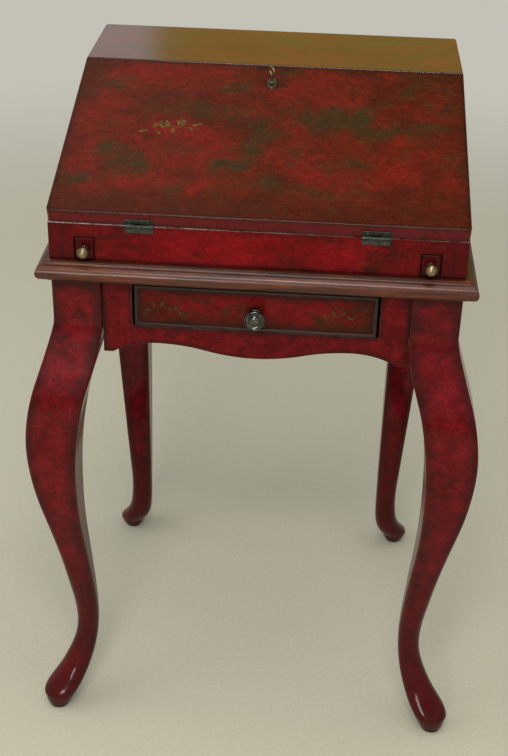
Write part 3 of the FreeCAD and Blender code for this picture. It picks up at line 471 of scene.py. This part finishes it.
# Old cast or turned metal: tarnished in patches and hollows, rubbed bright on the arrises, with a soft shine.
def metal(name, bright, tarnish, roughness, patch_mm, rubbed):
    material, tree, shader, place = start_material(name, Metallic=1.0, Roughness=roughness)
    patch = add(tree, "TexNoise", {"Vector": place, "Scale": per_mm(patch_mm), "Detail": 5.0,
                                   "Roughness": 0.6}).outputs["Fac"]
    patch = add(tree, "MapRange", {"Value": patch, "From Min": 0.4, "From Max": 0.68,
                                   "To Max": 0.7}).outputs[0]
    tint = add(tree, "Mix", {0: patch, 6: colour(bright), 7: colour(tarnish)}, data_type="RGBA").outputs[2]
    open_air = add(tree, "AmbientOcclusion", {"Distance": METAL_CORNER_MM * MM},
                   samples=EDGE_SAMPLES).outputs["AO"]
    shut = add(tree, "MapRange", {"Value": open_air, "From Min": 0.35, "From Max": 0.8, "To Min": 1.0,
                                  "To Max": 0.0}).outputs[0]
    tint = add(tree, "Mix", {0: shut, 6: tint, 7: colour(tarnish)}, data_type="RGBA").outputs[2]
    worn = arris(tree, radius_mm=0.7, sharp=0.85, soft=0.98)
    rub = add(tree, "Math", {0: worn, 1: 0.8}, operation="MULTIPLY").outputs[0]
    tint = add(tree, "Mix", {0: rub, 6: tint, 7: colour(rubbed)}, data_type="RGBA").outputs[2]
    tree.links.new(tint, shader.inputs["Base Color"])
    dull = add(tree, "MapRange", {"Value": patch, "To Min": roughness, "To Max": roughness + 0.18}).outputs[0]
    tree.links.new(dull, shader.inputs["Roughness"])
    softened = add(tree, "Bevel", {"Radius": METAL_EDGE_MM * MM}, samples=EDGE_SAMPLES).outputs[0]
    tree.links.new(softened, shader.inputs["Normal"])
    return material


# Gold paint laid thinly by brush: dull, uneven, and worn through to the brown glaze below.
def gilding(name, gold, worn):
    material, tree, shader, place = start_material(name, Metallic=0.35, Roughness=0.42,
                                                   Specular_IOR_Level=0.3)
    thin = add(tree, "TexNoise", {"Vector": place, "Scale": per_mm(SPECK_MM), "Detail": 4.0,
                                  "Roughness": 0.65}).outputs["Fac"]
    thin = add(tree, "MapRange", {"Value": thin, "From Min": 0.42, "From Max": 0.62}).outputs[0]
    tint = add(tree, "Mix", {0: thin, 6: colour(gold), 7: colour(worn)}, data_type="RGBA").outputs[2]
    tree.links.new(tint, shader.inputs["Base Color"])
    return material


FALL_LACQUER = lacquer("red_lacquer_fall", ("#5e1e0b", "#701910", "#481b0c", "#3b2c15"), (0.47, 0.38, 0.28),
                       cloud_mm=60, stretch=1.2, edge_darkening=(0.7, 8), rub=0.2, roughness=0.24, shine=(0.14, 0.16),
                       border=fall_border, rim=fall_rim)
TOP_LACQUER = lacquer("red_lacquer_top", ("#5e2410", "#6c1c16", "#4a200e", "#40351a"), (0.4, 0.45, 0.3),
                      cloud_mm=56, stretch=2.2, edge_darkening=(0.6, 8), rub=0.2, roughness=0.14, shine=(0.2, 0.6))
CASE_LACQUER = lacquer("red_lacquer_case", ("#6c0509", "#800b14", "#4e0a0b", "#3c120b"), (0.55, 0.26, 0.1),
                       cloud_mm=40, stretch=2.0, edge_darkening=(0.35, 8), rub=1.6, roughness=0.22, shine=(0.04, 0.14),
                       border=rail_ends, rubbed_and_highlit_at=rail_lip)
STAND_TONES = ("#5c080d", "#720f18", "#480c0d", "#3c110c")
LEG_LACQUER = lacquer("red_lacquer_legs", STAND_TONES, (0.5, 0.2, 0.06), cloud_mm=26, stretch=1.0,
                      edge_darkening=(0.9, 20), rub=0.3, roughness=0.17, shine=(0.04, 0.28), border=leg_border)
APRON_LACQUER = lacquer("red_lacquer_aprons", STAND_TONES, (0.5, 0.2, 0.06), cloud_mm=26, stretch=1.0,
                        edge_darkening=(0.8, 9), rub=0.3, roughness=0.2, shine=(0.04, 0.16))
DRAWER_LACQUER = lacquer("red_lacquer_drawer", ("#620a0d", "#740d13", "#3e180d", "#352410"),
                         (0.52, 0.24, 0.24), cloud_mm=32, stretch=1.6, edge_darkening=(0.9, 8), rub=0.2,
                         roughness=0.24, shine=(0.06, 0.12), border=drawer_border)
LOPER_LACQUER = lacquer("red_lacquer_loper", ("#5a070c", "#680a11", "#400a0a", "#30100a"),
                        (0.5, 0.26, 0.08), cloud_mm=26, stretch=1.0, edge_darkening=(0.9, 8), rub=0.25,
                        roughness=0.24, shine=(0.06, 0.12))
MAHOGANY_ACROSS = wood("mahogany_moulding_across", "#6c3219", "#37170d", grain_mm=8, along="X", roughness=0.3,
                       coat=0.22, edge=0.9, run=13, coat_roughness=0.2)
MAHOGANY_ALONG = wood("mahogany_moulding_along", "#5c2c1b", "#31150d", grain_mm=8, along="Y", roughness=0.34,
                      coat=0.1, edge=0.9, run=13)
BEAD_WOOD = wood("stained_bead", "#3a211a", "#22120d", grain_mm=5, along="X", roughness=0.5, coat=0.0,
                 edge=0.45)
STAIN = {"pale": "#5a3020", "dark": "#381a12", "grain_mm": 9, "roughness": 0.36, "coat": 0.2, "edge": 0.6}
STAINED_ACROSS = wood("stained_wood_across", along="X", **STAIN)
STAINED_UP = wood("stained_wood_up", along="Z", **STAIN)
DEAL = {"pale": "#a98258", "dark": "#7d5836", "grain_mm": 11, "roughness": 0.55, "coat": 0.0, "edge": 0.45}
DEAL_ACROSS = wood("deal_across", along="X", **DEAL)
DEAL_ALONG = wood("deal_along", along="Y", **DEAL)
CHAMPAGNE_BRASS = metal("champagne_brass", "#a89878", "#54472e", roughness=0.33, patch_mm=5, rubbed="#c0b292")
OLD_BRASS = metal("old_brass", "#a58c54", "#4e3c20", roughness=0.3, patch_mm=5, rubbed="#ccb67e")
HINGE_BRONZE = metal("hinge_bronze", "#474c46", "#262a26", roughness=0.4, patch_mm=6, rubbed="#8c8e84")
DULL_BRONZE = metal("dull_hinge_bronze", "#5a5a54", "#343430", roughness=0.62, patch_mm=6, rubbed="#7c7c74")
DARK_NICKEL = metal("dark_nickel", "#70706c", "#211f1d", roughness=0.15, patch_mm=9, rubbed="#b4b4ae")
PEWTER = metal("pewter", "#8a8880", "#45423a", roughness=0.36, patch_mm=6, rubbed="#b8b4a4")
LOCK_STEEL = metal("lock_steel", "#7c7a76", "#4a423a", roughness=0.38, patch_mm=8, rubbed="#a8a6a0")
GILDING = gilding("worn_gilding", "#8a6a34", "#3e220f")
FAINT_GILDING = gilding("faint_gilding", "#573c1c", "#3c1a10")

FINISHES = [
    (FALL_LACQUER, ["fall_board"]),
    (TOP_LACQUER, ["top_board"]),
    (CASE_LACQUER, ["front_rail", "left_case_side", "right_case_side"]),
    (LEG_LACQUER, ["front_left_leg", "front_right_leg", "back_left_leg", "back_right_leg"]),
    (APRON_LACQUER, ["front_apron", "left_apron", "right_apron", "back_apron"]),
    (DRAWER_LACQUER, ["drawer_front", "small_drawer_front"]),
    (LOPER_LACQUER, ["left_loper", "right_loper"]),
    (MAHOGANY_ACROSS, ["front_moulding"]),
    (MAHOGANY_ALONG, ["left_moulding", "right_moulding"]),
    (BEAD_WOOD, ["drawer_bead"]),
    (STAINED_ACROSS, ["writing_bed", "nest_shelf"]),
    (STAINED_UP, ["left_divider", "right_divider"]),
    (DEAL_ACROSS, ["stand_top", "case_back", "drawer_back", "drawer_bottom", "small_drawer_back",
                   "small_drawer_bottom"]),
    (DEAL_ALONG, ["drawer_left_side", "drawer_right_side", "small_drawer_left_side",
                  "small_drawer_right_side", "left_drawer_runner", "right_drawer_runner", "glue_blocks",
                  "left_inner_guide", "right_inner_guide", "left_outer_guide", "right_outer_guide"]),
    (CHAMPAGNE_BRASS, ["left_loper_knob", "right_loper_knob", "key"]),
    (OLD_BRASS, ["small_drawer_knob"]),
    (HINGE_BRONZE, ["left_fall_hinge_leaf", "right_fall_hinge_leaf", "left_hinge_pin", "right_hinge_pin"]),
    (DULL_BRONZE, ["left_rail_hinge_leaf", "right_rail_hinge_leaf"]),
    (DARK_NICKEL, ["drawer_knob"]),
    (PEWTER, ["escutcheon"]),
    (LOCK_STEEL, ["lock_case", "lock_bolt", "strike_plate"]),
]
for material, names in FINISHES:
    for name in names:
        nodes[name].data.materials.clear()
        nodes[name].data.materials.append(material)


def finish_piece(name, build, face, material, body):
    """Turns a build into a piece on a face, riding on a body."""
    bmesh.ops.transform(build, matrix=face, verts=build.verts)
    bmesh.ops.recalc_face_normals(build, faces=build.faces)
    mesh = bpy.data.meshes.new(name)
    build.to_mesh(mesh)
    build.free()
    mesh.materials.append(material)
    piece = bpy.data.objects.new(name, mesh)
    scene.collection.objects.link(piece)
    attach(piece, body)
    return piece


def verts_of(geom):
    return [part for part in geom if isinstance(part, bmesh.types.BMVert)]


def raise_faces(build, faces, height):
    """Extrudes faces straight up and returns the raised ones."""
    lifted = bmesh.ops.extrude_face_region(build, geom=faces)["geom"]
    bmesh.ops.translate(build, vec=(0, 0, height), verts=verts_of(lifted))
    return [part for part in lifted if isinstance(part, bmesh.types.BMFace)]


def scatter(build, places):
    """Copies a build to each place and takes the first one away."""
    seed = build.verts[:] + build.edges[:] + build.faces[:]
    for place in places:
        copy = bmesh.ops.duplicate(build, geom=seed)["geom"]
        bmesh.ops.transform(build, matrix=place, verts=verts_of(copy))
    bmesh.ops.delete(build, geom=verts_of(seed), context="VERTS")


def spot(x, up, turn=0.0, size=1.0, out=0.0):
    """A place on a face in millimetres, turned by degrees and sized."""
    return (Matrix.Translation((x * MM, up * MM, out * MM)) @ Matrix.Rotation(math.radians(turn), 4, "Z")
            @ Matrix.Scale(size, 4))


# The bead round the drawer's front, with its two arrises rounded over.
def make_bead():
    low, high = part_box("drawer_bead")
    width, height, depth = high[0] - low[0], high[2] - low[2], high[1] - low[1]
    build = bmesh.new()
    bmesh.ops.create_grid(build, x_segments=1, y_segments=1, size=0.5)
    bmesh.ops.scale(build, vec=(width, height, 1), verts=build.verts)
    middle = build.faces[:]
    bmesh.ops.inset_individual(build, faces=middle, thickness=BEAD_WIDTH, use_even_offset=True)
    bmesh.ops.delete(build, geom=middle, context="FACES")
    raise_faces(build, build.faces[:], depth)
    rims = []
    for edge in build.edges:
        run = edge.verts[1].co - edge.verts[0].co
        straight = min(abs(run.x), abs(run.y)) < BEAD_WIDTH / 2
        if straight and all(vert.co.z > depth / 2 for vert in edge.verts):
            rims.append(edge)
    bmesh.ops.bevel(build, geom=rims, offset=BEAD_ROUNDING, offset_type="OFFSET", affect="EDGES",
                    segments=4, profile=0.5, material=-1)
    lift = Matrix.Translation((0, (low[2] + high[2]) / 2, APRON_FRONT_Y - high[1]))
    bead = finish_piece("rounded_drawer_bead", build, APRON_FACE @ lift, BEAD_WOOD, "drawer")
    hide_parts("drawer_bead")


def slotted_screw(radius, height, slot):
    """A screw's flat head with its driver slot."""
    build = bmesh.new()
    bmesh.ops.create_circle(build, cap_ends=True, segments=20, radius=radius)
    for side in (-1, 1):
        bmesh.ops.bisect_plane(build, geom=build.verts[:] + build.edges[:] + build.faces[:],
                               plane_co=(0, side * slot / 2, 0), plane_no=(0, 1, 0))
    top = raise_faces(build, build.faces[:], height)
    raise_faces(build, [face for face in top if abs(face.calc_center_median().y) < slot / 2], -height / 2)
    return build


def domed_stud(radius, height):
    """A pin's or nail's head with its rim rounded over."""
    build = bmesh.new()
    bmesh.ops.create_circle(build, cap_ends=True, segments=16, radius=radius)
    top = raise_faces(build, build.faces[:], height)
    bmesh.ops.bevel(build, geom=list(top[0].edges), offset=height * 0.8, offset_type="OFFSET",
                    affect="EDGES", segments=3, profile=0.5, material=-1)
    return build


def make_fixings():
    """Hinge screws, the escutcheon's pins and the back panel's nails."""
    for side, sign in (("left", -1), ("right", 1)):
        along = [(sign * HINGE_X_MM + x, turn) for x, turn in HINGE_SCREWS]
        screws = slotted_screw(SCREW_RADIUS, SCREW_HEIGHT, SCREW_SLOT)
        scatter(screws, [spot(x, HINGE_LINE_MM - RAIL_SCREW_DROP_MM, turn, out=LEAF_MM)
                         for x, turn in along])
        finish_piece(f"{side}_rail_hinge_screws", screws, RAIL_FACE, DULL_BRONZE, "desk")
        screws = slotted_screw(SCREW_RADIUS, SCREW_HEIGHT, SCREW_SLOT)
        scatter(screws, [spot(x, FALL_SCREW_RISE_MM, turn + FALL_SCREW_TURN, out=LEAF_MM)
                         for x, turn in along])
        finish_piece(f"{side}_fall_hinge_screws", screws, FALL_FOOT_FACE, HINGE_BRONZE, "fall")
    pins = domed_stud(PIN_RADIUS, PIN_HEIGHT)
    scatter(pins, [spot(0, KEY_AXIS_MM + offset, out=ESCUTCHEON_MM) for offset in PIN_OFFSETS_MM])
    finish_piece("escutcheon_pins", pins, FALL_FACE, PEWTER, "fall")
    nails = domed_stud(NAIL_RADIUS, NAIL_HEIGHT)
    scatter(nails, [spot(x, z) for x in NAIL_X_MM for z in NAIL_Z_MM])
    finish_piece("back_panel_nails", nails, BACK_FACE, LOCK_STEEL, "desk")


# Gilt sprays: a few strokes of a brush, each a thin raised touch of paint.
def petals(count, length, width):
    """A blossom of oval petals about the origin."""
    build = bmesh.new()
    bmesh.ops.create_circle(build, cap_ends=True, segments=12, radius=0.5)
    bmesh.ops.scale(build, vec=(length, width, 1), verts=build.verts)
    bmesh.ops.translate(build, vec=(length * 0.62, 0, 0), verts=build.verts)
    bmesh.ops.spin(build, geom=build.verts[:] + build.edges[:] + build.faces[:], cent=(0, 0, 0),
                   axis=(0, 0, 1), angle=math.tau * (count - 1) / count, steps=count - 1, use_duplicate=True)
    raise_faces(build, build.faces[:], GILT_HEIGHT)
    return build


def leaf(length, width):
    """A pointed leaf that starts near the origin."""
    build = bmesh.new()
    bmesh.ops.create_circle(build, cap_ends=True, segments=16, radius=0.5)
    bmesh.ops.scale(build, vec=(length, width, 1), verts=build.verts)
    tips = [vert for vert in build.verts if abs(vert.co.x) > length * 0.49]
    bmesh.ops.scale(build, vec=(1.25, 1, 1), verts=tips)
    bmesh.ops.translate(build, vec=(length * 0.62, 0, 0), verts=build.verts)
    raise_faces(build, build.faces[:], GILT_HEIGHT)
    return build


def stem(radius, width, sweep):
    """A curved stroke about the origin, from the right."""
    build = bmesh.new()
    ends = [build.verts.new((across, 0, 0)) for across in (radius, radius + width)]
    stroke = build.edges.new(ends)
    bmesh.ops.spin(build, geom=ends + [stroke], cent=(0, 0, 0), axis=(0, 0, 1),
                   angle=math.radians(sweep), steps=14)
    raise_faces(build, build.faces[:], GILT_HEIGHT)
    return build


def make_gilding():
    """A sprig on the fall, and a faint spray at each end of the drawer's front."""
    blossoms = petals(count=6, length=7.5 * MM, width=5.6 * MM)
    scatter(blossoms, [spot(*place) for place in FALL_BLOSSOMS])
    finish_piece("fall_gilt_blossoms", blossoms, FALL_FACE, GILDING, "fall")
    leaves = leaf(length=11 * MM, width=4.4 * MM)
    scatter(leaves, [spot(*place) for place in FALL_LEAVES])
    finish_piece("fall_gilt_leaves", leaves, FALL_FACE, GILDING, "fall")
    stroke = stem(radius=80 * MM, width=0.9 * MM, sweep=40)
    finish_piece("fall_gilt_stem", stroke, FALL_FACE @ spot(*FALL_STEM), GILDING, "fall")
    for side, x, turn, sweep in DRAWER_STEMS:
        stroke = stem(radius=36 * MM, width=0.8 * MM, sweep=sweep)
        finish_piece(f"drawer_{side}_gilt_stem", stroke, APRON_FACE @ spot(x, DRAWER_STEM_UP_MM, turn),
                     FAINT_GILDING, "drawer")
    leaves = leaf(length=7 * MM, width=2.6 * MM)
    scatter(leaves, [spot(*place) for place in DRAWER_LEAVES])
    finish_piece("drawer_gilt_leaves", leaves, APRON_FACE, FAINT_GILDING, "drawer")


make_bead()
make_fixings()
make_gilding()


# Stage: a plain pale floor that fades into the pale backdrop.
def make_floor():
    mesh = bpy.data.meshes.new("floor")
    build = bmesh.new()
    bmesh.ops.create_grid(build, x_segments=1, y_segments=1, size=FLOOR_HALF)
    build.to_mesh(mesh)
    build.free()
    floor = bpy.data.objects.new("floor", mesh)
    scene.collection.objects.link(floor)
    material, tree, shader, place = start_material("pale_carpet", Roughness=0.95, Specular_IOR_Level=0.1)
    pile = add(tree, "TexNoise", {"Vector": place, "Scale": per_mm(PILE_MM), "Detail": 3.0}).outputs["Fac"]
    tint = add(tree, "Mix", {0: pile, 6: colour("#b9b6a2"), 7: colour("#cac8b6")},
               data_type="RGBA").outputs[2]
    tree.links.new(tint, shader.inputs["Base Color"])
    away = add(tree, "VectorMath", {0: place}, operation="LENGTH").outputs["Value"]
    fade = add(tree, "MapRange", {"Value": away, "From Min": FADE_START, "From Max": FADE_END},
               interpolation_type="SMOOTHSTEP").outputs[0]
    seen = add(tree, "LightPath").outputs["Is Camera Ray"]
    fade = add(tree, "Math", {0: fade, 1: seen}, operation="MULTIPLY").outputs[0]
    clear = add(tree, "BsdfTransparent").outputs[0]
    surface = add(tree, "MixShader", {0: fade, 1: shader.outputs[0], 2: clear}).outputs[0]
    tree.links.new(surface, tree.nodes["Material Output"].inputs["Surface"])
    mesh.materials.append(material)


# Light: soft boxes in a pale room that the gloss shows, pale in front, white at the back on the left, straw
# at the back on the right, and dim above.
def make_light():
    world = bpy.data.worlds.new("pale_room")
    scene.world = world
    world.use_nodes = True
    tree = world.node_tree
    background = tree.nodes["Background"]
    split = add(tree, "SeparateXYZ", {"Vector": add(tree, "TexCoord").outputs["Generated"]})
    right, beside, behind, high = (
        add(tree, "MapRange", {"Value": split.outputs[axis], "From Min": start, "From Max": full},
            interpolation_type="SMOOTHSTEP").outputs[0]
        for axis, start, full in (RIGHT_WALL, SIDE_WALL, BACK_WALL, CEILING))
    far = add(tree, "MapRange", {"Value": split.outputs["X"], "From Min": CEILING_PALE_X,
                                 "From Max": CEILING_DIM_X}).outputs[0]
    straw = add(tree, "Mix", {0: beside, 6: colour("#c9ab55"), 7: colour("#b4aa8c")},
                data_type="RGBA").outputs[2]
    walls = add(tree, "Mix", {0: right, 6: colour("#e4e3de"), 7: straw}, data_type="RGBA").outputs[2]
    ceiling = add(tree, "Mix", {0: far, 6: colour("#b5b4b0"), 7: colour("#5a5648")},
                  data_type="RGBA").outputs[2]
    gloss = add(tree, "Mix", {0: behind, 6: colour("#cfcdc8"), 7: walls}, data_type="RGBA").outputs[2]
    gloss = add(tree, "Mix", {0: high, 6: gloss, 7: ceiling}, data_type="RGBA").outputs[2]
    path = add(tree, "LightPath")
    shown = colour(ROOM_LIGHT)
    for kind, tint in (("Is Glossy Ray", gloss), ("Is Transmission Ray", colour(BACKDROP)),
                       ("Is Camera Ray", colour(BACKDROP))):
        shown = add(tree, "Mix", {0: path.outputs[kind], 6: shown, 7: tint}, data_type="RGBA").outputs[2]
    tree.links.new(shown, background.inputs["Color"])
    background.inputs["Strength"].default_value = ROOM_STRENGTH

    for name, at, (width, height), watts, tint in LAMPS:
        lamp = bpy.data.lights.new(name, "AREA")
        lamp.shape = "RECTANGLE"
        lamp.size = width
        lamp.size_y = height
        lamp.energy = watts
        lamp.color = colour(tint)[:3]
        holder = bpy.data.objects.new(name, lamp)
        holder.location = at
        holder.rotation_euler = (LAMP_AIM - Vector(at)).to_track_quat("-Z", "Y").to_euler()
        holder.visible_glossy = name != UNSEEN_IN_GLOSS
        scene.collection.objects.link(holder)


def make_camera():
    """The photograph's own viewpoint, with its slight roll."""
    pitch, yaw, roll = CAMERA_PITCH, CAMERA_YAW, CAMERA_ROLL
    ahead = Vector((math.sin(yaw) * math.cos(pitch), math.cos(yaw) * math.cos(pitch), -math.sin(pitch)))
    level = Vector((math.cos(yaw), -math.sin(yaw), 0))
    upright = level.cross(ahead)
    right = math.cos(roll) * level + math.sin(roll) * upright
    up = -math.sin(roll) * level + math.cos(roll) * upright
    data = bpy.data.cameras.new("photograph_view")
    data.sensor_width = SENSOR_MM
    data.lens = FOCAL_PIXELS * SENSOR_MM / LONG_SIDE_PIXELS
    camera = bpy.data.objects.new("photograph_view", data)
    turn = Matrix((right, up, -ahead)).transposed().to_4x4()
    camera.matrix_world = Matrix.Translation(CAMERA_PLACE) @ turn
    scene.collection.objects.link(camera)
    scene.camera = camera


make_floor()
make_light()
make_camera()
scene.view_settings.view_transform = "Standard"
